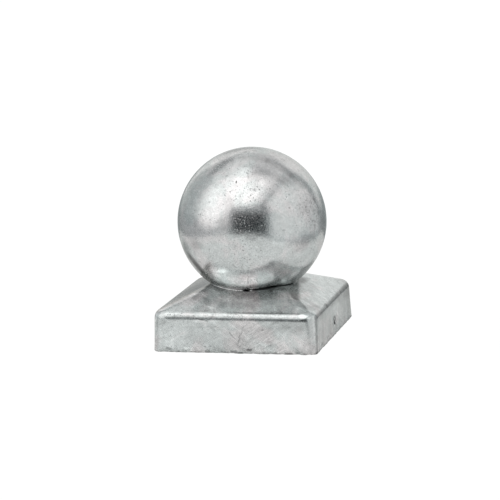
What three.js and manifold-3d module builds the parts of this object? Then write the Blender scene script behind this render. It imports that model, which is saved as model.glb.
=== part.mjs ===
// A hot-dip galvanised cap for a square wooden post: a pressed sheet-steel cap with a low
// pyramid on top, and a steel ball let into a round hole at the pyramid's middle.
// Millimetres, +Z up. The origin is at the middle of the cap, level with its lower edge.

import * as THREE from 'three';
import Module from 'manifold-3d';

// The post that the cap slides over
const postWidth = 90;
const postPlay = 0.5; // room left on each side of the post

// The pressed cap
const sheet = 1.5;
const skirtHeight = 21.6; // up to where the skirt and a slope would meet if they were sharp
const slopeAngle = 22.4; // of each slope above the level, in degrees
const insideEaveRadius = 3.5; // of the bend from the skirt to a slope
const insideLowerCornerRadius = 3; // of the upright corners, at the lower edge
const insideUpperCornerRadius = 7; // of the upright corners, where the slopes begin

// The ball and its seat
const ballDiameter = 84.5;
const ballSink = 18; // how far the ball's lowest point lies below the pyramid's sharp tip
const ballOffCentre = 1; // towards +X, as it was set down for welding
const seatGap = 0.3; // between the ball and the rim of the hole that it sits in

// The holes for a screw or a nail, one in each of two opposite sides
const fixingHoleDiameter = 5;
const fixingHoleHeight = 8.6;

// How finely the round forms are divided
const sideSteps = 8; // along half of a side
const cornerSteps = 6;
const eaveSteps = 6;
const slopeSteps = 5;
const ballSegments = 64;
const holeSegments = 24;

// Worked out from the sizes above
const insideHalfWidth = postWidth / 2 + postPlay;
const slope = THREE.MathUtils.degToRad(slopeAngle);
const outsideHalfWidth = insideHalfWidth + sheet;
const tipHeight = skirtHeight + outsideHalfWidth * Math.tan(slope);
const ballRadius = ballDiameter / 2;
const ballCentre = new THREE.Vector3(ballOffCentre, 0, tipHeight - ballSink + ballRadius);

const wasm = await Module();
wasm.setup();

// One face of the sheet, from its distance inside the cap's outer face
function sheetFace(depth) {
  const eaveRadius = insideEaveRadius + sheet - depth;
  const halfWidth = outsideHalfWidth - depth;
  const tip = tipHeight - depth / Math.cos(slope);
  const bendHalfWidth = halfWidth - eaveRadius;
  const bendHeight = tip - bendHalfWidth * Math.tan(slope) - eaveRadius / Math.cos(slope);
  return {
    halfWidth,
    tip,
    eaveRadius,
    bendHeight,
    lowerCorner: insideLowerCornerRadius + sheet - depth,
    upperCorner: insideUpperCornerRadius + sheet - depth,
  };
}

// Points around a square with rounded corners, from the middle of its +X side to the left
function roundedSquare(halfWidth, cornerRadius, height) {
  const quarter = [];
  const straight = halfWidth - cornerRadius;
  for (let i = 0; i < sideSteps; i += 1) {
    quarter.push([halfWidth, (straight * i) / sideSteps]);
  }
  for (let i = 0; i < cornerSteps; i += 1) {
    const angle = ((Math.PI / 2) * i) / cornerSteps;
    quarter.push([
      straight + cornerRadius * Math.cos(angle),
      straight + cornerRadius * Math.sin(angle),
    ]);
  }
  for (let i = 0; i < sideSteps; i += 1) {
    quarter.push([straight * (1 - i / sideSteps), halfWidth]);
  }
  const ring = [];
  for (let turn = 0; turn < 4; turn += 1) {
    const c = Math.round(Math.cos((turn * Math.PI) / 2));
    const s = Math.round(Math.sin((turn * Math.PI) / 2));
    for (const [x, y] of quarter) {
      ring.push(new THREE.Vector3(c * x - s * y, s * x + c * y, height));
    }
  }
  return ring;
}

// The height of a sheet face's slopes at a place in plan, with the ridges rounded
function slopeHeight(face, ridgeRadius, x, y) {
  const far = Math.max(Math.abs(x), Math.abs(y));
  const apart = far - Math.min(Math.abs(x), Math.abs(y));
  let reach = far;
  if (apart < ridgeRadius) {
    const chord = Math.sqrt(2 * ridgeRadius ** 2 - apart ** 2);
    reach = ridgeRadius + (2 * far - apart - chord) / 2;
  }
  return face.tip - reach * Math.tan(slope);
}

// Where the slopes come within the seat's gap of the ball, in one direction from its axis
function seatPoint(face, ridgeRadius, angle) {
  const away = ballRadius + seatGap;
  const point = new THREE.Vector3();
  let near = 0;
  let far = away;
  for (let step = 0; step < 40; step += 1) {
    const reach = (near + far) / 2;
    point.x = ballCentre.x + reach * Math.cos(angle);
    point.y = ballCentre.y + reach * Math.sin(angle);
    point.z = slopeHeight(face, ridgeRadius, point.x, point.y);
    if (point.distanceTo(ballCentre) < away) near = reach;
    else far = reach;
  }
  return point;
}

// All rings of one face of the sheet, from the lower edge to the rim of the seat
function faceRings(face) {
  const rings = [roundedSquare(face.halfWidth, face.lowerCorner, 0)];
  for (let i = 0; i <= eaveSteps; i += 1) {
    const angle = ((Math.PI / 2 - slope) * i) / eaveSteps;
    const inward = face.eaveRadius * (1 - Math.cos(angle));
    const height = face.bendHeight + face.eaveRadius * Math.sin(angle);
    rings.push(roundedSquare(face.halfWidth - inward, face.upperCorner - inward, height));
  }
  const eave = rings[rings.length - 1];
  const ridgeRadius = face.upperCorner - face.eaveRadius * (1 - Math.sin(slope));
  const seat = eave.map((p) => seatPoint(face, ridgeRadius, Math.atan2(p.y, p.x)));
  for (let i = 1; i < slopeSteps; i += 1) {
    rings.push(eave.map((p, k) => {
      const point = p.clone().lerp(seat[k], i / slopeSteps);
      point.z = slopeHeight(face, ridgeRadius, point.x, point.y);
      return point;
    }));
  }
  rings.push(seat);
  return rings;
}

// A closed skin through rings of points; the last ring joins the first one again
function ringGeometry(rings) {
  const around = rings[0].length;
  const index = [];
  for (let r = 0; r < rings.length; r += 1) {
    const here = r * around;
    const next = ((r + 1) % rings.length) * around;
    for (let i = 0; i < around; i += 1) {
      const j = (i + 1) % around;
      index.push(here + i, here + j, next + j);
      index.push(here + i, next + j, next + i);
    }
  }
  const geometry = new THREE.BufferGeometry().setFromPoints(rings.flat());
  geometry.setIndex(index);
  return geometry;
}

function mergedSolid(geometry) {
  const found = new Map();
  const vertices = [];
  const position = geometry.getAttribute('position');
  const triangles = Array.from(geometry.getIndex().array, (v) => {
    const point = [position.getX(v), position.getY(v), position.getZ(v)];
    const key = point.map((value) => value.toFixed(4)).join();
    if (!found.has(key)) {
      found.set(key, found.size);
      vertices.push(...point);
    }
    return found.get(key);
  });
  return new wasm.Manifold(new wasm.Mesh({
    numProp: 3,
    vertProperties: new Float32Array(vertices),
    triVerts: new Uint32Array(triangles),
  }));
}

function solidGeometry(solid) {
  const mesh = solid.getMesh();
  const geometry = new THREE.BufferGeometry();
  geometry.setAttribute('position', new THREE.BufferAttribute(mesh.vertProperties, 3));
  geometry.setIndex(new THREE.BufferAttribute(mesh.triVerts, 1));
  geometry.computeVertexNormals();
  return geometry;
}

// The cap is open below, and its top is open where the ball sits
function makeCap() {
  const outside = faceRings(sheetFace(0));
  const inside = faceRings(sheetFace(sheet));
  const shell = mergedSolid(ringGeometry([...outside, ...inside.reverse()]));
  const drillRadius = fixingHoleDiameter / 2;
  const drillLength = 2 * (outsideHalfWidth + sheet);
  const drill = new THREE.CylinderGeometry(drillRadius, drillRadius, drillLength, holeSegments);
  drill.rotateZ(Math.PI / 2);
  drill.translate(0, 0, fixingHoleHeight);
  return solidGeometry(shell.subtract(mergedSolid(drill)));
}

function makeBall() {
  const ball = new THREE.SphereGeometry(ballRadius, ballSegments, ballSegments / 2);
  ball.rotateX(Math.PI / 2);
  return ball;
}

function galvanised(color, roughness) {
  return new THREE.MeshStandardMaterial({ color, roughness, metalness: 0.9 });
}

const group = new THREE.Group();
group.name = 'knob_post_cap';

const cap = new THREE.Mesh(makeCap(), galvanised(0xb4b8b7, 0.5));
cap.name = 'post_cap';
group.add(cap);

const ball = new THREE.Mesh(makeBall(), galvanised(0xbabdbb, 0.4));
ball.name = 'ball';
ball.position.copy(ballCentre);
group.add(ball);

export default group;
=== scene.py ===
# A hot-dip galvanised ball cap for a square post: a pressed cap, a ball and the zinc between
import math

import bmesh
import bpy
from mathutils import Matrix, Vector, noise


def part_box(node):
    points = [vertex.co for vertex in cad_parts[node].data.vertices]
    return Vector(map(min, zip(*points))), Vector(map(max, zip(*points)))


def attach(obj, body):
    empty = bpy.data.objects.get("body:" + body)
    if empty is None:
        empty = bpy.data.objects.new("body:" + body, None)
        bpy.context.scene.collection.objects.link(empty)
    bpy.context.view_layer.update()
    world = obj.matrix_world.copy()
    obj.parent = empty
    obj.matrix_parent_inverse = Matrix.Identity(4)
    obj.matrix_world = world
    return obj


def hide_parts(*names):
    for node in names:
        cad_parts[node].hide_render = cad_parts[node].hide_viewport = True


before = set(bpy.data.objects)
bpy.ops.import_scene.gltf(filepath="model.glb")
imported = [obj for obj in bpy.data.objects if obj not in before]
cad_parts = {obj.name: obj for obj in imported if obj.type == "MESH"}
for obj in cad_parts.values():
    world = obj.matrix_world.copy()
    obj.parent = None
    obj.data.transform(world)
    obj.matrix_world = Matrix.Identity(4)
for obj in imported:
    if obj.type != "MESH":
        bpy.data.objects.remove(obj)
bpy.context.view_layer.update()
mm = 0.001
rootBody = "root"

capLow, capHigh = (Vector(corner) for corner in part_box("post_cap"))
ballLow, ballHigh = (Vector(corner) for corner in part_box("ball"))
ballCentre = (ballLow + ballHigh) / 2
ballRadius = (ballHigh.z - ballLow.z) / 2
capHalfWidth = (capHigh.x - capLow.x) / 2
print("frame read: cap", round(2 * capHalfWidth / mm, 1), "mm wide, ball",
      round(2 * ballRadius / mm, 1), "mm")


class Wire:
    # one output of a node, which can be used in a sum like a number
    def __init__(self, sheet, socket):
        self.sheet = sheet
        self.socket = socket

    def __add__(self, other):
        return self.sheet.maths("ADD", self, other)

    def __radd__(self, other):
        return self.sheet.maths("ADD", other, self)

    def __sub__(self, other):
        return self.sheet.maths("SUBTRACT", self, other)

    def __rsub__(self, other):
        return self.sheet.maths("SUBTRACT", other, self)

    def __mul__(self, other):
        return self.sheet.maths("MULTIPLY", self, other)

    def __rmul__(self, other):
        return self.sheet.maths("MULTIPLY", other, self)

    def __truediv__(self, other):
        return self.sheet.maths("DIVIDE", self, other)

    def __rtruediv__(self, other):
        return self.sheet.maths("DIVIDE", other, self)

    def __pow__(self, other):
        return self.sheet.maths("POWER", self, other)

    def __abs__(self):
        return self.sheet.maths("ABSOLUTE", self)


class NodeSheet:
    # a node tree under construction
    def __init__(self, tree):
        self.tree = tree

    def node(self, kind, settings=None, inputs=None, output=0):
        made = self.tree.nodes.new(kind)
        for name, value in (settings or {}).items():
            if name == "stops":
                self.setStops(made.color_ramp, value)
            else:
                setattr(made, name, value)
        for name, value in (inputs or {}).items():
            if isinstance(value, Wire):
                self.tree.links.new(value.socket, made.inputs[name])
            else:
                made.inputs[name].default_value = value
        return Wire(self, made.outputs[output]) if made.outputs else None

    def setStops(self, ramp, stops):
        while len(ramp.elements) < len(stops):
            ramp.elements.new(1.0)
        for element, (place, colour) in zip(ramp.elements, stops):
            element.position = place
            element.color = colour

    def maths(self, operation, *values):
        inputs = {i: value for i, value in enumerate(values)}
        return self.node("ShaderNodeMath", {"operation": operation}, inputs)

    def vector(self, operation, *values, output=0):
        inputs = {i: value for i, value in enumerate(values)}
        return self.node("ShaderNodeVectorMath", {"operation": operation}, inputs, output)

    def scaled(self, vector, factor):
        settings = {"operation": "SCALE"}
        return self.node("ShaderNodeVectorMath", settings, {0: vector, "Scale": factor})

    def smooth(self, value, fromLow, fromHigh, toLow=0.0, toHigh=1.0):
        settings = {"interpolation_type": "SMOOTHSTEP"}
        return self.node("ShaderNodeMapRange", settings,
                         {"Value": value, "From Min": fromLow, "From Max": fromHigh,
                          "To Min": toLow, "To Max": toHigh})

    def mixColour(self, factor, first, second, blend="MIX"):
        settings = {"data_type": "RGBA", "blend_type": blend}
        return self.node("ShaderNodeMix", settings, {0: factor, 6: first, 7: second}, 2)

    def parts(self, vector):
        split = self.node("ShaderNodeSeparateXYZ", None, {0: vector}).socket.node
        return [Wire(self, socket) for socket in split.outputs]


# The camera stands where the picture was taken from
cameraSettings = {
    "azimuth": 15.64,
    "elevation": 11.65,
    "roll": 2.60,
    "distance": 1215 * mm,
    "aim": (-0.74 * mm, -0.85 * mm, 48.71 * mm),
    "lensMm": 154.10,
    "sensorMm": 36.0,
}


def makeCamera(settings):
    turn = math.radians(settings["azimuth"])
    rise = math.radians(settings["elevation"])
    roll = math.radians(settings["roll"])
    right = Vector((math.cos(turn), math.sin(turn), 0))
    level = math.cos(rise)
    back = Vector((math.sin(turn) * level, -math.cos(turn) * level, math.sin(rise)))
    up = back.cross(right)
    rolledRight = math.cos(roll) * right - math.sin(roll) * up
    rolledUp = math.sin(roll) * right + math.cos(roll) * up
    lens = bpy.data.cameras.new("camera")
    lens.lens = settings["lensMm"]
    lens.sensor_width = settings["sensorMm"]
    lens.dof.use_dof = False
    camera = bpy.data.objects.new("camera", lens)
    bpy.context.scene.collection.objects.link(camera)
    turned = Matrix((rolledRight, rolledUp, back)).transposed().to_4x4()
    place = Vector(settings["aim"]) + settings["distance"] * back
    camera.matrix_world = Matrix.Translation(place) @ turned
    bpy.context.scene.camera = camera


makeCamera(cameraSettings)
print("camera set")


# The zinc. Colours are of bare zinc by daylight; places and lengths are in millimetres.
# A pitted place is (middle, reach); a mark is (from, to, reach, how much paler or darker).
# Tones are written as marks are, but broad. Most are no wear of the zinc but painted shade and painted
# highlights: they bring a place nearer to the picture where the light panels don't, so they are right
# from its side only
ballFinish = {
    "name": "ballZinc",
    "bright": (0.655, 0.640, 0.640, 1),
    "cool": (0.576, 0.598, 0.594, 1),
    "warmTintAndShade": (0.600, 0.590, 0.560, 1),
    "dull": (0.16, 0.17, 0.17, 1),
    "edgeTint": (0.68, 0.69, 0.68, 1),
    "roughness": 0.185,
    "roughnessSwing": 0.06,
    "haze": 0.13,             # share of a broader, duller shine
    "hazeSwing": 1.0,
    "hazeRoughness": 0.40,     # added to that of the sharper shine
    "paleFrom": 0.40,
    "grainHeight": 0.040,
    "cloudHeight": 0.020,
    "waveHeight": 0.0,
    "pitDepth": 0.09,
    "pitShare": 0.13,
    "pitted": [((-9, -20, 101), 10), ((-1, -10, 106), 10), ((7, -22, 101), 9), ((10, -34, 88), 9),
               ((39, -9, 81), 9), ((40, -14, 72), 8), ((6, -33, 40), 12), ((-9, -32, 40), 9),
               ((18, -30, 42), 8), ((5, -41, 55), 13), ((-13, -38, 55), 6)],
    "strokes": 0.07,
    "speckle": 0.5,
    "cloudRoughness": 0.66,
    "fleckedAt": ((40, -14, 75), 19),
    "fleckDepth": 0.42,
    "brushedAt": None,
    "marks": [
        ((6.9, -24.7, 99.0), (7.8, -28.8, 95.2), 0.40, -0.28),
        ((6.8, -34.0, 40.8), (5.3, -29.8, 35.5), 0.50, -0.35),
        ((1.6, -31.1, 93.8), (1.8, -31.8, 93.1), 0.55, -0.80),
        ((12.1, -32.9, 89.3), (12.6, -32.9, 89.2), 0.90, -0.30),
        ((-5.0, -28.1, 96.2), (-4.4, -28.0, 96.3), 0.70, -0.30),
        ((-13.2, -35.6, 83.0), (-12.9, -35.7, 82.8), 0.70, -0.25),
        ((30.1, -27.7, 78.3), (30.3, -27.5, 78.3), 0.60, -0.35),
        ((27.5, -32.8, 67.0), (28.3, -32.2, 67.0), 0.60, -0.25),
        ((1.7, -37.8, 46.4), (-0.6, -38.6, 48.4), 0.45, -0.35),
        ((-10.8, -34.8, 44.4), (-9.8, -35.8, 45.8), 0.45, -0.30),
        ((40.2, -8.4, 78.4), (39.6, -9.0, 80.0), 1.10, -0.35),
        ((5.4, -6.6, 106.6), (7.0, -6.4, 106.5), 0.90, -0.25),
        ((1.0, -9.4, 106.2), (1.6, -9.0, 106.4), 1.00, -0.25),
    ],
    # tones: painted shade and painted highlights on the ball
    "paintedLightAndStains": [
        ((-9.0, -33.5, 41.0), (13.0, -34.0, 41.0), 6.60, 0.36),
        ((20.0, -29.5, 42.0), (24.0, -25.5, 38.5), 3.00, 0.12),
        ((-27.5, -25.5, 49.0), (-22.6, -26.5, 43.0), 4.00, -0.66),
        ((-20.0, -29.0, 42.5), (-17.0, -28.5, 40.0), 3.00, 0.46),
        ((-20.5, -28.0, 41.8), (-15.2, -32.2, 45.0), 2.20, 0.24),
        ((-9.0, -28.7, 35.7), (5.0, -29.2, 34.8), 2.40, 0.26),
        ((29.5, -19.0, 42.0), (35.5, -12.0, 46.5), 4.50, 0.12),
        ((24.5, -19.5, 36.5), (29.0, -15.5, 39.0), 3.20, 0.52),
        ((12.0, -38.0, 52.0), (20.0, -35.0, 52.0), 8.00, 0.06),
        ((5.8, -25.4, 98.6), (6.4, -25.8, 98.2), 3.20, 0.24),
        ((-10.0, -5.0, 105.5), (1.0, -1.5, 107.3), 4.00, -0.16),
        ((2.0, -16.5, 104.1), (14.0, -14.2, 102.8), 3.00, -0.20),
        ((16.0, -14.0, 102.2), (28.0, -14.3, 94.4), 3.20, -0.18),
        ((11.0, -28.0, 95.0), (12.0, -31.0, 92.0), 4.00, -0.12),
        ((33.0, -25.5, 55.5), (36.5, -21.0, 55.5), 3.60, -0.18),
        ((22.5, -21.5, 94.5), (27.0, -20.5, 91.5), 3.60, -0.15),
        ((11.0, -25.0, 97.0), (18.0, -22.0, 97.3), 2.60, -0.13),
        ((29.0, -14.0, 93.5), (34.0, -13.5, 88.0), 2.40, -0.18),
        ((-2.5, -37.5, 84.0), (-0.5, -38.2, 82.5), 3.40, -0.14),
        ((10.0, -41.0, 64.6), (13.5, -40.4, 64.6), 2.60, -0.20),
        ((-4.5, -41.3, 72.9), (-3.5, -41.6, 71.0), 3.00, -0.20),
        ((36.5, -20.0, 78.0), (36.0, -21.0, 77.0), 4.00, -0.12),
        ((37.0, -21.0, 59.0), (39.5, -16.0, 58.5), 3.60, -0.18),
        ((24.0, -35.0, 61.8), (28.0, -32.0, 61.4), 3.20, 0.16),
    ],
    "runs": 0.0,
}
capFinish = {
    "name": "capZinc",
    "bright": (0.672, 0.656, 0.656, 1),
    "cool": (0.574, 0.600, 0.596, 1),
    "warmTintAndShade": (0.350, 0.336, 0.310, 1),
    "dull": (0.16, 0.17, 0.17, 1),
    "edgeTint": (0.86, 0.86, 0.85, 1),
    "roughness": 0.20,
    "roughnessSwing": 0.10,
    "haze": 0.20,
    "hazeSwing": 0.5,
    "hazeRoughness": 0.40,
    "paleFrom": 0.45,
    "grainHeight": 0.016,
    "cloudHeight": 0.035,
    "waveHeight": 0.05,
    "pitDepth": 0.10,
    "pitShare": 0.14,
    "pitted": [((-34, -44, 21), 8), ((-12, -44, 21), 7), ((2, -44, 21), 9), ((30, -12, 28), 7),
               ((46, -17, 21), 8), ((28, 12, 29), 5), ((8, -47, 8), 9), ((-36, -34, 25), 8)],
    "strokes": 0.22,
    "speckle": 0.16,
    "cloudRoughness": 0.54,
    "fleckedAt": ((8, -47, 2), 12),
    "fleckDepth": 0.24,
    "brushedAt": ((17, -47, 11), 15),
    "marks": [
        ((-1.7, -47, 12.2), (0.2, -47, 9.2), 0.40, -0.40),
        ((0.2, -47, 9.2), (1.6, -47, 8.3), 0.40, -0.20),
        ((6.8, -47, 15.8), (4.2, -47, 10.3), 0.40, -0.25),
        ((4.2, -47, 10.3), (3.0, -47, 8.9), 0.40, -0.40),
        ((3.9, -47, 8.7), (2.9, -47, 6.0), 0.45, -0.40),
        ((2.9, -47, 6.0), (1.5, -47, 5.2), 0.50, -0.30),
        ((-20.6, -47, 19.5), (-14.3, -47, 18.3), 0.55, -0.45),
        ((23.1, -47, 16.9), (26.4, -47, 17.8), 0.40, -0.35),
        ((17.0, -47, 13.7), (17.4, -47, 13.7), 0.70, -0.35),
        ((-28.4, -47, 14.5), (-4.1, -47, 15.0), 0.45, -0.12),
        # these three darken the lower side of the eave's shine: painted shade
        ((-34.0, -46.9, 20.6), (-22.0, -46.9, 20.6), 1.00, -0.26),
        ((-12.0, -46.9, 20.6), (-9.5, -46.9, 20.6), 1.00, -0.26),
        ((-3.0, -46.9, 21.0), (38.0, -46.9, 21.0), 0.90, -0.18),
        ((-38.4, -47, 2.2), (-36.0, -47, 1.9), 0.90, -0.40),
        ((-29.0, -47, 1.2), (-25.5, -47, 1.7), 0.80, -0.35),
        ((-15.6, -47, 1.0), (-14.2, -47, 1.1), 0.80, -0.40),
        ((-1.2, -47, 1.3), (1.4, -47, 1.2), 0.80, -0.50),
        ((3.0, -47, 0.4), (4.8, -47, 0.4), 0.80, -0.60),
        ((8.2, -47, 2.3), (9.8, -47, 2.2), 0.90, -0.60),
        ((5.8, -47, 3.0), (8.2, -47, 2.5), 0.60, -0.25),
        ((16.6, -47, 0.9), (18.0, -47, 1.0), 0.60, -0.35),
        ((23.0, -47, 0.7), (24.6, -47, 0.7), 0.60, -0.40),
        ((29.6, -47, 0.8), (33.4, -47, 0.6), 0.70, -0.55),
        ((36.0, -47, 1.4), (37.6, -47, 1.3), 0.70, -0.30),
        ((47, -2.0, 10.4), (47, 0.6, 6.4), 0.60, -0.30),
        ((47, 0.8, 6.2), (47, 3.2, 4.6), 0.70, -0.40),
        ((47, -33.0, 2.7), (47, -31.8, 2.7), 0.90, -0.50),
        ((45.8, -18.0, 21.6), (46.0, -15.0, 21.6), 0.90, -0.35),
        ((-3.3, -33.6, 27.1), (5.9, -33.3, 27.2), 0.45, 0.14),
        ((5.9, -33.3, 27.2), (8.6, -32.2, 27.6), 0.45, 0.16),
        ((8.6, -32.2, 27.6), (9.8, -29.6, 28.7), 0.60, 0.14),
        ((-20.5, -38.5, 25.1), (-11.2, -40.6, 24.1), 0.60, 0.14),
        ((-36.2, -46.4, 21.3), (-35.6, -46.4, 21.3), 0.60, -0.32),
        ((-32.0, -46.0, 21.7), (-30.8, -46.0, 21.7), 0.50, -0.30),
        ((-15.6, -46.4, 21.2), (-15.2, -46.4, 21.2), 0.60, -0.32),
        ((-13.4, -46.7, 20.9), (-13.0, -46.7, 20.9), 0.50, -0.28),
        ((-4.2, -46.5, 21.1), (-2.8, -46.5, 21.1), 0.60, -0.36),
        ((4.0, -46.3, 21.4), (4.6, -46.3, 21.4), 0.50, -0.28),
        ((9.8, -46.3, 21.4), (11.4, -46.4, 21.3), 0.50, -0.26),
        ((21.0, -46.6, 21.0), (22.2, -46.5, 21.1), 0.50, -0.22),
        ((47, -27.5, 18.0), (47, -30.5, 2.0), 0.90, -0.12),
        ((47, -11.5, 18.0), (47, -9.5, 3.0), 1.00, -0.10),
    ],
    # tones: painted shade and painted highlights, with a few stains and streaks
    "paintedLightAndStains": [
        ((-36.2, -47, 10.5), (-36.6, -47, 4.0), 3.00, 0.14),
        ((15.0, -47, 14.2), (38.0, -47, 14.5), 2.20, -0.13),
        ((37.0, -24.0, 25.6), (43.0, -27.0, 23.2), 2.60, -0.18),
        ((-27.5, -47, 1.4), (-25.0, -47, 1.4), 1.80, 0.30),
        ((-21.0, -47, 18.6), (-8.0, -47, 18.6), 1.50, 0.22),
        ((19.0, -47, 16.4), (24.0, -47, 16.2), 2.20, 0.14),
        ((14.0, -47, 4.2), (19.0, -47, 4.0), 2.60, 0.18),
        ((37.0, -47, 1.9), (40.5, -47, 1.8), 2.20, -0.14),
        ((-10.0, -47, 1.6), (-5.0, -47, 1.6), 2.20, -0.14),
        ((47, -18.6, 2.8), (47, -17.0, 3.1), 1.20, -0.40),
        ((46.5, -41.5, 18.4), (46.8, -43.5, 1.0), 1.50, -0.42),
        ((47.0, -41.0, 20.3), (46.9, -15.0, 20.5), 1.80, -0.54),
        ((46.9, -15.0, 20.5), (46.8, 18.7, 20.8), 1.70, -0.54),
        ((46.8, 18.7, 20.8), (46.7, 41.0, 20.9), 1.70, -0.54),
        ((47.0, -38.0, 18.3), (47.0, 40.0, 18.8), 2.60, -0.14),
        ((-43.0, -47, 20.1), (42.0, -47, 20.1), 1.70, -0.24),
        ((41.5, -47, 19.4), (43.2, -46.8, 18.6), 1.20, -0.32),
        ((43.2, -46.8, 18.6), (43.9, -46.6, 13.0), 1.30, -0.22),
        ((18.0, -47, 17.0), (40.0, -47, 17.0), 3.00, -0.10),
        ((-44.5, -46.0, 18.5), (-44.8, -46.0, 15.0), 1.30, -0.18),
        ((-3.0, -44.9, 22.9), (38.0, -44.8, 22.9), 1.20, -0.28),
        ((28.2, 14.5, 29.4), (29.4, 16.0, 29.0), 1.40, -0.20),
        ((9.6, -33.4, 27.2), (15.5, -30.5, 28.5), 1.60, -0.12),
        ((-43.0, -32.5, 23.1), (-30.8, -24.0, 28.1), 1.80, -0.30),
        ((-43.2, -18.4, 23.2), (-36.2, -25.3, 26.0), 2.00, -0.25),
        ((-21.0, -20.0, 31.8), (-12.0, -24.6, 31.2), 2.40, -0.42),
        ((-30.0, -8.0, 29.5), (-22.0, -17.0, 31.5), 6.00, -0.30),
        ((14.0, -41.0, 24.0), (38.0, -41.0, 24.0), 4.00, 0.10),
        ((39.0, -45.2, 21.6), (42.6, -44.6, 21.2), 1.70, 0.40),
        ((-44.0, -45.0, 21.0), (-36.0, -45.0, 22.0), 2.40, 0.12),
        ((27.0, -47, 10.0), (36.0, -47, 7.0), 6.00, 0.08),
        ((-26.0, -47, 3.5), (-24.0, -47, 4.0), 3.00, 0.10),
        ((25.6, -5.0, 30.4), (26.2, 9.0, 30.2), 4.20, -0.50),
        ((55.0, 50.0, 16.0), (55.0, 50.0, 10.0), 22.0, -0.38),
        ((-46.8, -40.9, 18.5), (-46.9, -43.6, 1.0), 2.30, -0.46),
        ((-44.6, -44.5, 20.5), (-45.6, -44.2, 16.5), 1.30, 0.22),
        ((-30.0, -47, 14.0), (-34.0, -47, 5.0), 6.00, 0.10),
        ((34.0, -22.0, 27.0), (42.0, -34.0, 24.0), 5.00, -0.12),
        ((43.5, -46.0, 18.0), (44.6, -46.0, 1.0), 2.20, -0.12),
        ((30.0, -47, 15.5), (38.0, -47, 14.5), 3.50, -0.10),
        ((-36.0, -10.0, 27.0), (-24.0, 10.0, 31.0), 14.0, -0.44),
        ((-34.0, -37.0, 26.0), (-28.0, -33.0, 28.0), 6.00, -0.13),
        ((39.5, -37.5, 24.6), (44.5, -29.0, 22.6), 4.50, -0.16),
        ((27.5, -15.0, 29.5), (31.5, -27.0, 28.0), 3.40, -0.36),
        ((16.5, -23.5, 31.3), (22.5, -20.5, 31.0), 2.60, -0.36),
        ((26.8, 4.0, 29.9), (27.2, 13.0, 29.6), 3.00, -0.30),
        ((27.8, -5.0, 29.4), (29.4, -14.0, 28.9), 3.20, -0.28),
        ((-21.0, -38.0, 25.3), (-18.0, -39.0, 25.0), 3.40, 0.10),
        ((32.0, 6.0, 27.7), (35.0, -15.0, 26.6), 4.20, -0.16),
        ((-29.0, -14.0, 29.5), (-31.0, -23.5, 28.2), 4.00, -0.28),
        ((23.5, -36.0, 26.0), (23.8, -41.0, 24.2), 2.60, 0.12),
        ((47, 28.0, 18.0), (46.4, 44.0, 16.0), 4.60, -0.26),
        ((47, 20.0, 12.0), (46.8, 36.0, 12.0), 6.00, -0.14),
        ((47, -7.0, 19.6), (47, 10.0, 19.6), 2.60, -0.16),
        ((24.0, -22.0, 30.0), (31.0, -31.0, 27.4), 3.40, -0.34),
        ((36.5, -39.5, 24.7), (40.5, -39.5, 24.6), 2.60, 0.30),
        ((-19.5, -36.0, 26.2), (-13.0, -38.5, 25.2), 3.20, 0.14),
        ((-22.5, -36.5, 26.0), (-18.5, -39.5, 24.8), 4.20, 0.42),
        ((-25.5, -25.5, 30.3), (-22.0, -25.0, 31.0), 2.60, -0.36),
        ((44.6, -45.0, 20.4), (45.2, -45.6, 17.0), 1.60, -0.16),
        ((-14.0, -37.0, 25.8), (8.0, -39.0, 24.8), 3.60, -0.14),
        ((-29.0, -45.5, 22.3), (-22.0, -44.5, 22.6), 2.60, -0.12),
        ((-41.5, -47, 17.3), (-39.5, -47, 17.0), 1.80, -0.24),
        ((-44.2, -47, 15.0), (-44.4, -47, 3.0), 1.80, -0.20),
        ((20.6, -47, 9.8), (22.6, -47, 10.4), 3.20, -0.18),
        ((4.4, -47, 13.0), (4.0, -47, 4.0), 3.20, -0.12),
        ((-0.6, -47, 5.9), (-3.0, -47, 5.2), 3.00, -0.12),
        ((46.6, -46.2, 19.0), (46.8, -46.4, 3.0), 2.20, -0.42),
        ((47, 12.0, 18.5), (47, 42.0, 17.5), 4.50, -0.18),
        ((-18.0, -36.0, 26.3), (10.0, -36.0, 26.3), 4.00, -0.10),
        ((-24.0, -41.0, 24.2), (8.0, -41.5, 24.0), 2.40, 0.06),
        ((47, -30.0, 10.0), (47, 30.0, 10.0), 13.0, -0.05),
        ((47, -42.0, 3.0), (47, -18.0, 3.0), 3.60, 0.14),
        ((47, -22.5, 18.0), (47, -23.0, 2.0), 1.20, 0.08),
        ((47, 18.0, 18.0), (47, 19.0, 12.0), 1.50, -0.08),
        ((47, 9.0, 19.0), (47, 12.0, 12.0), 2.00, 0.08),
    ],
    "runs": 1.0,              # upright runs on the left and right sides
    "leftSlopeTintAndShade": 0.75,           # of the left slope: a warm tint and painted shade, darker than the zinc
    "edgeDepth": 0.34,        # how dark the painted shade along the lower edge is in places
    "brushing": 0.24,
}

# How fine each pattern in the zinc is, as noise waves in a millimetre
patternWaves = {
    "patches": 0.055,
    "clouds": 0.35,
    "grain": 0.9,
    "fine": 1.6,
    "crowds": 0.13,
    "pits": 0.75,
    "smallPits": 1.4,
    "strokes": 0.8,
    "runs": 0.19,
    "edge": 0.6,
    "flecks": 0.55,
    "brush": 0.9,
    "shaking": 0.45,
    "hills": 0.11,
}


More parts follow.
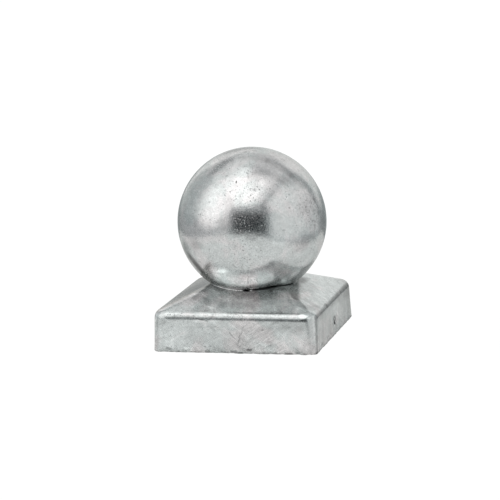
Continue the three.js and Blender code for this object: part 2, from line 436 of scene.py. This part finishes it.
def makeZinc(finish):
    material = bpy.data.materials.new(finish["name"])
    material.use_nodes = True
    material.node_tree.nodes.clear()
    sheet = NodeSheet(material.node_tree)
    place = sheet.node("ShaderNodeTexCoord", None, None, "Object")
    inMm = sheet.scaled(place, 1 / mm)
    x, y, z = sheet.parts(inMm)

    def noiseOf(scale, detail, roughness=0.5, of=inMm, distortion=0.0, output=0):
        return sheet.node("ShaderNodeTexNoise", {"noise_dimensions": "3D"},
                          {"Vector": of, "Scale": scale, "Detail": detail,
                           "Roughness": roughness, "Distortion": distortion}, output)

    def nearTo(middle, reach):
        gap = sheet.vector("DISTANCE", inMm, middle, output=1)
        return sheet.smooth(gap, reach, reach * 0.3)

    patches = sheet.smooth(noiseOf(patternWaves["patches"], 3.0, 0.6, distortion=0.6),
                           finish["paleFrom"], finish["paleFrom"] + 0.22)
    clouds = noiseOf(patternWaves["clouds"], 5.0, finish["cloudRoughness"], distortion=0.3)
    grain = noiseOf(patternWaves["grain"], 3.0, 0.65)
    fine = noiseOf(patternWaves["fine"], 2.0, 0.6)

    # pits: small dark hollows, thick in some places and rare in others
    def pitsOf(scale, size, share):
        cells = sheet.node("ShaderNodeTexVoronoi", {"feature": "F1"},
                           {"Vector": inMm, "Scale": scale})
        chance = sheet.node("ShaderNodeSeparateColor", None,
                            {0: Wire(sheet, cells.socket.node.outputs["Color"])})
        chosen = sheet.maths("LESS_THAN", chance, share)
        return chosen * sheet.smooth(cells, size, size * 0.35)

    crowd = 0.0
    for middle, reach in finish["pitted"]:
        crowd = sheet.maths("MAXIMUM", crowd, nearTo(middle, reach))
    anywhere = sheet.smooth(noiseOf(patternWaves["crowds"], 2.0), 0.45, 0.70)
    crowd = sheet.maths("MAXIMUM", crowd, anywhere * 0.7)
    pits = sheet.maths("MAXIMUM",
                       pitsOf(patternWaves["pits"], 0.30, (0.08 + crowd) * finish["pitShare"] * 2.0),
                       pitsOf(patternWaves["smallPits"], 0.36, (0.12 + crowd) * finish["pitShare"] * 3.0))

    colour = sheet.mixColour(patches, finish["cool"], finish["bright"])
    speckle = (sheet.smooth(grain, 0.25, 0.75, -0.10, 0.09)
               + sheet.smooth(fine, 0.25, 0.75, -0.06, 0.06))
    shade = sheet.smooth(clouds, 0.28, 0.72, 0.87, 1.07) * (1 + finish["speckle"] * speckle)

    # fine strokes across one another, as brushes and handling leave them
    for lean, turned in ((28, 1.0), (-37, -1.0)):
        ahead = Vector((math.cos(math.radians(lean)), 0.6 * turned, math.sin(math.radians(lean))))
        side = Vector((-math.sin(math.radians(lean)), -0.5 * turned, math.cos(math.radians(lean))))
        along = sheet.vector("DOT_PRODUCT", inMm, tuple(ahead), output=1)
        over = sheet.vector("DOT_PRODUCT", inMm, tuple(side), output=1)
        combed = sheet.node("ShaderNodeCombineXYZ", None, {0: along * 0.10, 1: over, 2: turned})
        strokes = noiseOf(patternWaves["strokes"], 3.0, 0.65, of=combed)
        pale = sheet.smooth(strokes, 0.56, 0.74)
        dark = sheet.smooth(strokes, 0.42, 0.28)
        shade = shade * (1 + finish["strokes"] * (pale - dark))
    if finish["runs"]:
        tall = sheet.node("ShaderNodeCombineXYZ", None, {0: x, 1: y, 2: z * 0.06})
        runs = noiseOf(patternWaves["runs"], 3.0, 0.62, of=tall)
        onSides = sheet.smooth(abs(x), 46.3, 46.8) * finish["runs"]
        shade = shade * (1 + onSides * sheet.smooth(runs, 0.3, 0.7, -0.16, 0.05))
        # the left slope gets a warm tint and painted shade
        leftSlope = sheet.smooth(-1 * x - abs(y), -0.5, 2.5) * sheet.smooth(z, 20.5, 22.5)
        colour = sheet.mixColour(leftSlope * finish["leftSlopeTintAndShade"], colour, finish["warmTintAndShade"])
        # painted shade along the lower edge, broken in places
        broken = sheet.smooth(noiseOf(patternWaves["edge"], 4.0, 0.65), 0.38, 0.60)
        edge = sheet.smooth(z, 2.2, 0.3) * broken
        shade = shade * (1 - finish["edgeDepth"] * edge)
    if finish["fleckedAt"]:
        flecks = sheet.smooth(noiseOf(patternWaves["flecks"], 4.0, 0.62, distortion=1.6), 0.50, 0.66)
        shade = shade * (1 - finish["fleckDepth"] * flecks * nearTo(*finish["fleckedAt"]))
    if finish["brushedAt"]:
        lean = math.radians(32)
        along = x * math.cos(lean) + z * math.sin(lean)
        over = z * math.cos(lean) - x * math.sin(lean)
        combed = sheet.node("ShaderNodeCombineXYZ", None, {0: along * 0.12, 1: over})
        brush = sheet.smooth(noiseOf(patternWaves["brush"], 3.0, 0.6, of=combed), 0.45, 0.68)
        shade = shade * (1 + finish["brushing"] * (brush - 0.38) * nearTo(*finish["brushedAt"]))

    # marks, and tones of painted shade and painted highlights, each round the way from one place to
    # another
    marksAndPaintedLight = 1.0
    shake = 0.6
    shaking = noiseOf(patternWaves["shaking"], 2.0, output="Color")
    shaken = sheet.vector("ADD", inMm, sheet.scaled(shaking, 2 * shake))
    for start, end, reach, change in finish["marks"] + finish["paintedLightAndStains"]:
        way = Vector(end) - Vector(start)
        offset = sheet.vector("SUBTRACT", shaken, tuple(part + shake for part in start))
        share = sheet.vector("DOT_PRODUCT", offset, tuple(way / way.length_squared), output=1)
        share = sheet.maths("MINIMUM", sheet.maths("MAXIMUM", share, 0.0), 1.0)
        apart = sheet.vector("SUBTRACT", offset, sheet.scaled(tuple(way), share))
        gap = sheet.vector("LENGTH", apart, output=1)
        marksAndPaintedLight = marksAndPaintedLight * (1 + change * sheet.smooth(gap, reach * 1.3, reach * 0.3))
    shade = shade * marksAndPaintedLight

    toned = sheet.scaled(colour, shade)
    worn = sheet.mixColour(pits * 0.8, toned, finish["dull"])
    roughness = finish["roughness"] + finish["roughnessSwing"] * (clouds - 0.5) + 0.25 * pits
    height = (grain * finish["grainHeight"] + fine * (0.4 * finish["grainHeight"])
              + clouds * finish["cloudHeight"] - pits * finish["pitDepth"])
    if finish["waveHeight"]:
        height = height + noiseOf(patternWaves["hills"], 1.0) * finish["waveHeight"]
    bump = sheet.node("ShaderNodeBump", None, {"Strength": 1.0, "Distance": mm, "Height": height})

    def metal(rough):
        return sheet.node("ShaderNodeBsdfPrincipled", None,
                          {"Base Color": worn, "Metallic": 1.0, "Roughness": rough, "Normal": bump,
                           "Specular Tint": finish["edgeTint"]})

    swing = finish["hazeSwing"]
    haze = finish["haze"] * sheet.smooth(fine, 0.35, 0.65, 1 - swing, 1 + swing)
    surface = sheet.node("ShaderNodeMixShader", None,
                         {0: haze, 1: metal(roughness), 2: metal(roughness + finish["hazeRoughness"])})
    sheet.node("ShaderNodeOutputMaterial", None, {"Surface": surface})
    return material


ballZinc = makeZinc(ballFinish)
capZinc = makeZinc(capFinish)
print("zinc made")


# The cap is pressed from one sheet; the sizes are the solid's own
capSizes = {
    "sheet": 1.5 * mm,
    "skirtHeight": 21.6 * mm,
    "slope": math.radians(22.4),
    "insideEaveRadius": 3.5 * mm,
    "insideLowerCorner": 3.0 * mm,
    "insideUpperCorner": 7.0 * mm,
    "slack": 0.12 * mm,        # how far the dressed face lies inside the true one
    "raggedness": 0.35 * mm,   # of the lower edge
    "sideSteps": 26,
    "cornerSteps": 14,
    "skirtSteps": 16,
    "eaveSteps": 12,
    "slopeSteps": 24,
}


def roundedSquare(halfWidth, cornerRadius, height, sizes):
    straight = halfWidth - cornerRadius
    quarter = [(halfWidth, straight * i / sizes["sideSteps"]) for i in range(sizes["sideSteps"])]
    for i in range(sizes["cornerSteps"]):
        angle = math.pi / 2 * i / sizes["cornerSteps"]
        quarter.append((straight + cornerRadius * math.cos(angle),
                        straight + cornerRadius * math.sin(angle)))
    for i in range(sizes["sideSteps"]):
        quarter.append((straight * (1 - i / sizes["sideSteps"]), halfWidth))
    ring = []
    for turn in range(4):
        c, s = ((1, 0), (0, 1), (-1, 0), (0, -1))[turn]
        ring += [Vector((c * x - s * y, s * x + c * y, height)) for x, y in quarter]
    return ring


def sheetFace(depth, sizes):
    slope = sizes["slope"]
    tip = sizes["skirtHeight"] + capHalfWidth * math.tan(slope) - depth / math.cos(slope)
    eave = sizes["insideEaveRadius"] + sizes["sheet"] - depth
    half = capHalfWidth - depth
    bendHeight = tip - (half - eave) * math.tan(slope) - eave / math.cos(slope)
    return {
        "half": half,
        "tip": tip,
        "eave": eave,
        "bendHeight": bendHeight,
        "lowerCorner": sizes["insideLowerCorner"] + sizes["sheet"] - depth,
        "upperCorner": sizes["insideUpperCorner"] + sizes["sheet"] - depth,
    }


def slopeHeight(face, ridgeRadius, x, y, sizes):
    far = max(abs(x), abs(y))
    apart = far - min(abs(x), abs(y))
    reach = far
    if apart < ridgeRadius:
        reach = ridgeRadius + (2 * far - apart - math.sqrt(2 * ridgeRadius ** 2 - apart ** 2)) / 2
    return face["tip"] - reach * math.tan(sizes["slope"])


# Zinc has closed the seat but for a long gape at the front right and a short gap beside it
openings = {
    "closed": 0.12 * mm,
    "gape": 0.34 * mm,
    "gapeMiddle": math.radians(-58),
    "gap": 0.75 * mm,
    "gapMiddle": math.radians(-85.4),
    "gapReach": math.radians(3.2),
}


def seatOpening(angle):
    gape = max(0.0, math.cos(angle - openings["gapeMiddle"]))
    gap = math.exp(-((angle - openings["gapMiddle"]) / openings["gapReach"]) ** 4)
    return openings["closed"] + openings["gape"] * gape ** 8 + openings["gap"] * gap


def seatPoint(face, ridgeRadius, angle, sizes):
    away = ballRadius + seatOpening(angle)
    near, far = 0.0, away
    for step in range(40):
        reach = (near + far) / 2
        x = ballCentre.x + reach * math.cos(angle)
        y = ballCentre.y + reach * math.sin(angle)
        point = Vector((x, y, slopeHeight(face, ridgeRadius, x, y, sizes)))
        if (point - ballCentre).length < away:
            near = reach
        else:
            far = reach
    return point


def faceRings(face, sizes):
    rings = []
    for i in range(sizes["skirtSteps"]):
        share = i / sizes["skirtSteps"]
        corner = face["lowerCorner"] + (face["upperCorner"] - face["lowerCorner"]) * share
        ring = roundedSquare(face["half"], corner, face["bendHeight"] * share, sizes)
        if i == 0:
            for point in ring:
                ragged = 0.5 + noise.noise(point / mm * 0.35) + 0.5 * noise.noise(point / mm * 1.1)
                point.z = sizes["raggedness"] * min(max(ragged, 0.0), 1.0)
        rings.append(ring)
    for i in range(sizes["eaveSteps"] + 1):
        angle = (math.pi / 2 - sizes["slope"]) * i / sizes["eaveSteps"]
        inward = face["eave"] * (1 - math.cos(angle))
        height = face["bendHeight"] + face["eave"] * math.sin(angle)
        corner = face["upperCorner"] - inward
        rings.append(roundedSquare(face["half"] - inward, corner, height, sizes))
    eave = rings[-1]
    ridgeRadius = face["upperCorner"] - face["eave"] * (1 - math.sin(sizes["slope"]))
    seat = [seatPoint(face, ridgeRadius, math.atan2(p.y, p.x), sizes) for p in eave]
    for i in range(1, sizes["slopeSteps"]):
        ring = []
        for p, q in zip(eave, seat):
            point = p.lerp(q, i / sizes["slopeSteps"])
            point.z = slopeHeight(face, ridgeRadius, point.x, point.y, sizes)
            ring.append(point)
        rings.append(ring)
    rings.append(seat)
    return rings


def meshFromRings(name, rings, material):
    around = len(rings[0])
    points = [p for ring in rings for p in ring]
    faces = []
    for r in range(len(rings)):
        here = r * around
        ahead = (r + 1) % len(rings) * around
        for i in range(around):
            j = (i + 1) % around
            faces.append((here + i, here + j, ahead + j, ahead + i))
    mesh = bpy.data.meshes.new(name)
    mesh.from_pydata(points, [], faces)
    mesh.materials.append(material)
    mesh.polygons.foreach_set("use_smooth", [True] * len(faces))
    piece = bpy.data.objects.new(name, mesh)
    bpy.context.scene.collection.objects.link(piece)
    return piece


# The fixing holes. On the right zinc has closed most of the hole and left a crooked slit;
# its widths are at places (y, z, width) from top to bottom
holeSizes = {
    "height": 8.6 * mm,
    "diameter": 5.0 * mm,
    "webDepth": 0.55 * mm,
    "slit": [(-1.7, 11.0, 0.8), (-1.6, 10.2, 2.2), (-1.2, 9.2, 2.0), (-0.3, 8.3, 1.2),
             (0.4, 7.2, 2.2), (0.9, 6.5, 1.8), (1.4, 6.1, 0.8)],
}


def prism(name, outline, near, far):
    # a block along x over an outline of (y, z) points
    count = len(outline)
    points = [(near, y, z) for y, z in outline] + [(far, y, z) for y, z in outline]
    faces = [tuple(range(count))[::-1], tuple(range(count, 2 * count))]
    faces += [(i, (i + 1) % count, count + (i + 1) % count, count + i) for i in range(count)]
    mesh = bpy.data.meshes.new(name)
    mesh.from_pydata(points, [], faces)
    checked = bmesh.new()
    checked.from_mesh(mesh)
    bmesh.ops.recalc_face_normals(checked, faces=checked.faces)
    checked.to_mesh(mesh)
    checked.free()
    block = bpy.data.objects.new(name, mesh)
    bpy.context.scene.collection.objects.link(block)
    return block


def circleOutline(radius, height, count=40):
    turns = [2 * math.pi * i / count for i in range(count)]
    return [(radius * math.cos(turn), height + radius * math.sin(turn)) for turn in turns]


def slitOutline(widths):
    left = [((y - w / 2) * mm, z * mm) for y, z, w in widths]
    right = [((y + w / 2) * mm, z * mm) for y, z, w in widths]
    return left + right[::-1]


def cutBlocks(piece, blocks):
    for block in blocks:
        cut = piece.modifiers.new("cut", "BOOLEAN")
        cut.object = block
        cut.solver = "EXACT"
    bpy.context.view_layer.update()
    depsgraph = bpy.context.evaluated_depsgraph_get()
    mesh = bpy.data.meshes.new_from_object(piece.evaluated_get(depsgraph), depsgraph=depsgraph)
    piece.modifiers.clear()
    piece.data = mesh
    for block in blocks:
        bpy.data.objects.remove(block)


def makeCap(sizes, holes):
    outside = faceRings(sheetFace(sizes["slack"], sizes), sizes)
    inside = faceRings(sheetFace(sizes["sheet"], sizes), sizes)
    cap = meshFromRings("capSkin", outside + inside[::-1], capZinc)
    outer, inner = capHalfWidth, capHalfWidth - sizes["sheet"]
    middle = (outer + inner) / 2
    hole = circleOutline(holes["diameter"] / 2, holes["height"])
    clear = 2 * mm
    cutBlocks(cap, [
        prism("leftHole", hole, -outer - clear, -inner + clear),
        prism("rightHoleOutside", hole, middle + holes["webDepth"] / 2, outer + clear),
        prism("rightHoleInside", hole, inner - clear, middle - holes["webDepth"] / 2),
        prism("rightSlit", slitOutline(holes["slit"]), inner - clear, outer + clear),
    ])
    return cap


capSkin = makeCap(capSizes, holeSizes)
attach(capSkin, rootBody)
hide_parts("post_cap")
print("cap made,", len(capSkin.data.polygons), "faces")


# A bead of zinc lies in the seat wherever the seat is closed
beadSizes = {
    "radius": 0.42 * mm,
    "unevenness": 0.14 * mm,
    "sink": 0.45,              # how deep it lies in the seat, as a share of its radius
    "sides": 12,
    "steps": 360,
    "openFrom": math.radians(-76),
    "openTo": math.radians(-14),
    "gapFrom": math.radians(-89.5),
    "gapTo": math.radians(-82),
    "fade": math.radians(1.6),
}


def beadShare(angle, sizes):
    # one where the bead is whole, none where the seat is open
    share = 1.0
    for start, end in (("openFrom", "openTo"), ("gapFrom", "gapTo")):
        outside = max(sizes[start] - angle, angle - sizes[end])
        share = min(share, max(outside / sizes["fade"], 0.0))
    return share


def makeBead(sizes):
    face = sheetFace(capSizes["slack"], capSizes)
    ridgeRadius = face["upperCorner"] - face["eave"] * (1 - math.sin(capSizes["slope"]))
    points = []
    for step in range(sizes["steps"]):
        angle = math.pi * (2 * step / sizes["steps"] - 1)
        seat = seatPoint(face, ridgeRadius, angle, capSizes)
        outward = Vector((math.cos(angle), math.sin(angle), 0))
        swing = noise.noise(seat / mm * 0.5)
        radius = (sizes["radius"] + sizes["unevenness"] * swing) * beadShare(angle, sizes)
        middle = seat - Vector((0, 0, sizes["radius"] * sizes["sink"]))
        for side in range(sizes["sides"]):
            turn = 2 * math.pi * side / sizes["sides"]
            around = outward * math.cos(turn) + Vector((0, 0, math.sin(turn)))
            points.append(middle + radius * around)
    rings = [points[i:i + sizes["sides"]] for i in range(0, len(points), sizes["sides"])]
    return meshFromRings("seatBead", rings, capZinc)


seatBead = makeBead(beadSizes)
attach(seatBead, rootBody)
print("bead made")


# Node trees that make a shape: their inputs, their last nodes and how they are run
def groupInputs(tree, shape):
    tree.interface.new_socket("Geometry", in_out="INPUT", socket_type="NodeSocketGeometry")
    tree.interface.new_socket("Geometry", in_out="OUTPUT", socket_type="NodeSocketGeometry")
    for name in shape:
        tree.interface.new_socket(name, in_out="INPUT", socket_type="NodeSocketFloat")
    made = tree.nodes.new("NodeGroupInput")
    sheet = NodeSheet(tree)
    return sheet, {socket.name: Wire(sheet, socket) for socket in made.outputs if socket.name}


def bakeTree(name, tree, shape, material):
    # runs the tree on an empty mesh and keeps the result as a plain mesh
    carrier = bpy.data.objects.new(name + "Carrier", bpy.data.meshes.new(name + "Carrier"))
    bpy.context.scene.collection.objects.link(carrier)
    modifier = carrier.modifiers.new(name, "NODES")
    modifier.node_group = tree
    for item in tree.interface.items_tree:
        if item.in_out == "INPUT" and item.name in shape:
            modifier[item.identifier] = shape[item.name]
    bpy.context.view_layer.update()
    depsgraph = bpy.context.evaluated_depsgraph_get()
    mesh = bpy.data.meshes.new_from_object(carrier.evaluated_get(depsgraph), depsgraph=depsgraph)
    mesh.name = name
    if not mesh.materials:
        mesh.materials.append(material)
    carrier.modifiers.remove(modifier)
    bpy.data.objects.remove(carrier)
    piece = bpy.data.objects.new(name, mesh)
    bpy.context.scene.collection.objects.link(piece)
    return piece


def closeTree(sheet, geometry, material):
    real = sheet.node("GeometryNodeRealizeInstances", None, {"Geometry": geometry})
    smoothed = sheet.node("GeometryNodeSetShadeSmooth", None, {"Geometry": real})
    coated = sheet.node("GeometryNodeSetMaterial", None,
                        {"Geometry": smoothed, "Material": material})
    end = sheet.tree.nodes.new("NodeGroupOutput")
    sheet.tree.links.new(coated.socket, end.inputs[0])


# Small drops of zinc froze along the skirt's lower edge
dropShape = {
    "Half width": capHalfWidth - capSizes["slack"],
    "Corner": capSizes["insideLowerCorner"] + capSizes["sheet"] - capSizes["slack"],
    "Places": 230.0,
    "Share": 0.42,
    "Smallest": 0.35 * mm,
    "Largest": 0.72 * mm,
    "Standing out": 0.09 * mm,
    "Highest": 0.9 * mm,
    "Slide": 0.6 * mm,
    "Seed": 11.0,
}


def dropTree(shape):
    tree = bpy.data.node_groups.new("edgeDrops", "GeometryNodeTree")
    sheet, given = groupInputs(tree, shape)
    width = given["Half width"] * 2.0
    square = sheet.node("GeometryNodeCurvePrimitiveQuadrilateral", None,
                        {"Width": width, "Height": width})
    rounded = sheet.node("GeometryNodeFilletCurve", {"mode": "POLY"},
                         {"Curve": square, "Radius": given["Corner"], "Count": 8})
    points = sheet.node("GeometryNodeCurveToPoints", {"mode": "COUNT"},
                        {"Curve": rounded, "Count": given["Places"]})

    def chance(low, high, more):
        # the sockets for plain numbers are the third and fourth
        return sheet.node("FunctionNodeRandomValue", {"data_type": "FLOAT"},
                          {2: low, 3: high, "Seed": given["Seed"] + more}, 1)

    size = chance(given["Smallest"], given["Largest"], 0.0)
    lift = chance(0.0, given["Highest"], 1.0)
    slide = chance(given["Slide"] * -1.0, given["Slide"], 3.0)
    x, y = sheet.parts(sheet.node("GeometryNodeInputPosition"))[:2]
    closer = 1 - (size - given["Standing out"]) / given["Half width"]
    onSide = sheet.maths("GREATER_THAN", abs(x), abs(y))
    place = sheet.node("ShaderNodeCombineXYZ", None,
                       {0: x * closer + (1 - onSide) * slide, 1: y * closer + onSide * slide,
                        2: size + lift})
    moved = sheet.node("GeometryNodeSetPosition", None, {"Geometry": points, "Position": place})
    drop = sheet.node("GeometryNodeMeshIcoSphere", None, {"Radius": 1.0, "Subdivisions": 3})
    chosen = sheet.maths("LESS_THAN", chance(0.0, 1.0, 2.0), given["Share"])
    placed = sheet.node("GeometryNodeInstanceOnPoints", None,
                        {"Points": moved, "Selection": chosen, "Instance": drop, "Scale": size})
    closeTree(sheet, placed, capZinc)
    return tree


edgeDrops = bakeTree("edgeDrops", dropTree(dropShape), dropShape, capZinc)
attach(edgeDrops, rootBody)
print("drops made,", len(edgeDrops.data.polygons), "faces")


# The ball is nearly round; its zinc skin is a little uneven, and a ground seam runs over it
ballShape = {
    "Radius": ballRadius - 0.06 * mm,
    "Unevenness": 0.05 * mm,
    "Waves per metre": 45.0,
    "Seam turn": math.radians(11),
    "Seam width": 0.35 * mm,
    "Seam depth": 0.05 * mm,
    "Seed": 4.0,
}


def ballTree(shape):
    tree = bpy.data.node_groups.new("ballSkin", "GeometryNodeTree")
    sheet, given = groupInputs(tree, shape)
    sphere = sheet.node("GeometryNodeMeshIcoSphere", None,
                        {"Radius": given["Radius"], "Subdivisions": 7})
    place = sheet.node("GeometryNodeInputPosition")
    outward = sheet.vector("NORMALIZE", place)
    waves = sheet.node("ShaderNodeTexNoise", {"noise_dimensions": "4D"},
                       {"Vector": place, "W": given["Seed"],
                        "Scale": given["Waves per metre"], "Detail": 1.0})
    x, y = sheet.parts(place)[:2]
    turn = given["Seam turn"]
    across = sheet.maths("COSINE", turn) * x + sheet.maths("SINE", turn) * y
    worn = sheet.node("ShaderNodeTexNoise", {"noise_dimensions": "4D"},
                      {"Vector": place, "W": given["Seed"] + 3.0, "Scale": 90.0, "Detail": 2.0})
    beside = sheet.smooth(abs(across), 0.0, given["Seam width"] * 2.0)
    groove = (1 - beside) * sheet.smooth(worn, 0.45, 0.6)
    out = (waves - 0.5) * given["Unevenness"] * 2.0 - groove * given["Seam depth"]
    shift = sheet.scaled(outward, out)
    moved = sheet.node("GeometryNodeSetPosition", None, {"Geometry": sphere, "Offset": shift})
    placed = sheet.node("GeometryNodeTransform", None,
                        {"Geometry": moved, "Translation": tuple(ballCentre)})
    closeTree(sheet, placed, ballZinc)
    return tree


ballSkin = bakeTree("ballSkin", ballTree(ballShape), ballShape, ballZinc)
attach(ballSkin, rootBody)
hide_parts("ball")
print("ball made")


# A pale table top inside a white light tent. The tent's walls and lamps are soft panels of
# light: azimuth 0 is the front, 90 the right; their sides are tangents of angles from there
stage = {
    "left": -0.25,
    "right": 0.150,
    "front": -0.46,
    "back": 0.20,
    "white": (0.93, 0.93, 0.925, 1),
    "seenWhite": 1.04,
    "showThrough": 0.06,      # how much of the soft contact shadow the picture keeps
    "shade": [((-0.075, 0.028, 0), 0.038, 0.65), ((-0.175, -0.035, 0), 0.060, 0.60),
              ((-0.150, 0.075, 0), 0.070, 0.55)],
}
tentPanels = {
    "backWall": (176, 0, -0.50, 0.42, -0.12, 0.93, 0.10, 1.12),
    "backWallLeft": (212, 0, -0.42, 0.50, 0.06, 0.93, 0.10, 1.18),
    "leftRim": (222, 10, -0.12, 0.30, -0.19, 0.36, 0.07, 1.45),
    "backWallTop": (200, 28, -0.52, 0.80, 0.20, 0.62, 0.10, 0.74),
    "topRim": (199, 14, -0.12, 0.10, -0.07, 0.06, 0.05, 0.66),
    "gapBehind": (160, 0, -0.20, 0.20, -0.36, -0.03, 0.10, 0.32),
    "rightWall": (92, 0, -1.35, 0.98, -0.38, 1.18, 0.10, 0.98),
    "rightWallTop": (85, 0, -0.90, 0.16, 0.62, 0.94, 0.16, 1.14),
    "rightWallEnd": (126, 0, -0.20, 0.46, 0.68, 1.05, 0.12, 0.66),
    "backEdge": (190, 52.3, -0.62, 0.12, -0.05, 0.05, 0.06, 0.24),
    "backCorner": (143, 30, -0.06, 0.06, -0.26, 0.30, 0.06, 0.34),
    "rightWallBack": (121, 0, -0.24, 0.24, -0.24, 0.30, 0.16, 0.72),
    "rightFoot": (112, -20, -0.34, 0.30, -0.08, 0.08, 0.09, 0.50),
    "rimBehind": (168, -3, -0.10, 0.10, -0.12, 0.07, 0.07, 0.42),
    "lowBehind": (187, -6, -0.30, 0.27, -0.10, 0.06, 0.06, 0.50),
    "leftWall": (-82, 0, -1.50, 0.82, -0.06, 1.10, 0.16, 0.82),
    "leftFoot": (-88, 2, -0.72, 0.24, -0.18, 0.05, 0.09, 0.43),
    "leftWallBack": (-106, 0, -0.34, 0.30, 0.00, 1.20, 0.25, 0.60),
    "roof": (-4, 89.9, -1.00, 0.74, -1.15, 0.84, 0.10, 1.04),
    "roofShade": (-4, 89.9, -0.02, 0.55, 0.00, 0.75, 0.14, 0.72),
    "cornerBehind": (228, 45, -0.20, 0.26, -0.12, 0.13, 0.10, 0.24),
    "lampRim": (-28, 89.9, -0.15, 0.28, 0.22, 0.30, 0.05, 0.40),
    "topLamp": (-14, 60, -0.42, 0.54, -0.61, 0.48, 0.26, 1.80),
    "sideLamp": (-50, 30, -0.46, 0.46, -0.46, 0.46, 0.32, 1.65),
    "rightSeam": (95, 52, -0.86, 0.74, -0.04, 0.04, 0.08, 0.44),
    "doorwaySide": (-28, 13, -0.10, 0.14, -0.26, 0.22, 0.12, 0.98),
    "doorwayCorner": (38, 26, -0.11, 0.10, -0.20, 0.15, 0.07, 0.04),
    "doorway": (11, 0, -0.64, 0.64, -0.28, 0.68, 0.11, 0.40),
    "doorwayDark": (11, 0, -0.51, 0.50, -0.25, 0.48, 0.13, 0.01),
}
tent = {
    "seams": 0.44,
    "stops": [(0.0, (0.0, 0.003, 0.005, 1)), (0.25, (0.238, 0.255, 0.260, 1)),
              (0.5, (0.499, 0.505, 0.504, 1)), (1.0, (1.0, 0.995, 0.99, 1))],
    "rampTop": 2.0,
}


def makeFloor(settings):
    mesh = bpy.data.meshes.new("floor")
    low, high = (settings["left"], settings["front"]), (settings["right"], settings["back"])
    corners = [(low[0], low[1]), (high[0], low[1]), (high[0], high[1]), (low[0], high[1])]
    mesh.from_pydata([(x, y, -0.02 * mm) for x, y in corners], [], [(0, 1, 2, 3)])
    floor = bpy.data.objects.new("floor", mesh)
    bpy.context.scene.collection.objects.link(floor)
    material = bpy.data.materials.new("paleFloor")
    material.use_nodes = True
    material.node_tree.nodes.clear()
    sheet = NodeSheet(material.node_tree)
    place = sheet.node("ShaderNodeTexCoord", None, None, "Object")
    shaded = 1.0
    for middle, reach, level in settings["shade"]:
        away = sheet.vector("DISTANCE", place, middle, output=1)
        shaded = sheet.maths("MINIMUM", shaded, sheet.smooth(away, reach * 0.4, reach, level, 1.0))
    matt = sheet.node("ShaderNodeBsdfDiffuse", None,
                      {"Color": sheet.scaled(settings["white"][:3], shaded)})
    glow = sheet.node("ShaderNodeEmission", None,
                      {"Color": (1, 1, 1, 1), "Strength": settings["seenWhite"]})
    seen = sheet.node("ShaderNodeLightPath", None, None, 0)
    mixed = sheet.node("ShaderNodeMixShader", None,
                       {0: seen * (1 - settings["showThrough"]), 1: matt, 2: glow})
    sheet.node("ShaderNodeOutputMaterial", None, {"Surface": mixed})
    mesh.materials.append(material)


def makeTent():
    world = bpy.data.worlds.new("tent")
    bpy.context.scene.world = world
    world.use_nodes = True
    world.node_tree.nodes.clear()
    sheet = NodeSheet(world.node_tree)
    way = sheet.vector("NORMALIZE", sheet.node("ShaderNodeTexCoord", None, None, 0))
    level = tent["seams"]
    for azimuth, elevation, left, right, low, high, soft, bright in tentPanels.values():
        a, e = math.radians(azimuth), math.radians(elevation)
        ahead = Vector((math.sin(a) * math.cos(e), -math.cos(a) * math.cos(e), math.sin(e)))
        side = Vector((math.cos(a), math.sin(a), 0))
        depth = sheet.vector("DOT_PRODUCT", way, tuple(ahead), output=1)
        across = sheet.vector("DOT_PRODUCT", way, tuple(side), output=1) / depth
        upward = sheet.vector("DOT_PRODUCT", way, tuple(ahead.cross(side)), output=1) / depth
        inside = sheet.maths("GREATER_THAN", depth, 0.02)
        for place, near, far in ((across, left, right), (upward, low, high)):
            inside = inside * sheet.smooth(place, near - soft, near + soft)
            inside = inside * sheet.smooth(place, far + soft, far - soft)
        level = level + inside * (bright - level)
    top = tent["rampTop"]
    tinted = sheet.node("ShaderNodeValToRGB", {"stops": tent["stops"]}, {0: level / top})
    light = sheet.node("ShaderNodeBackground", None, {"Color": tinted, "Strength": top})
    white = sheet.node("ShaderNodeBackground", None,
                       {"Color": (1, 1, 1, 1), "Strength": stage["seenWhite"]})
    seen = sheet.node("ShaderNodeLightPath", None, None, 0)
    mixed = sheet.node("ShaderNodeMixShader", None, {0: seen, 1: light, 2: white})
    sheet.node("ShaderNodeOutputWorld", None, {"Surface": mixed})


makeFloor(stage)
makeTent()
bpy.context.scene.view_settings.view_transform = "Standard"
print("floor and light set")

bpy.context.view_layer.update()
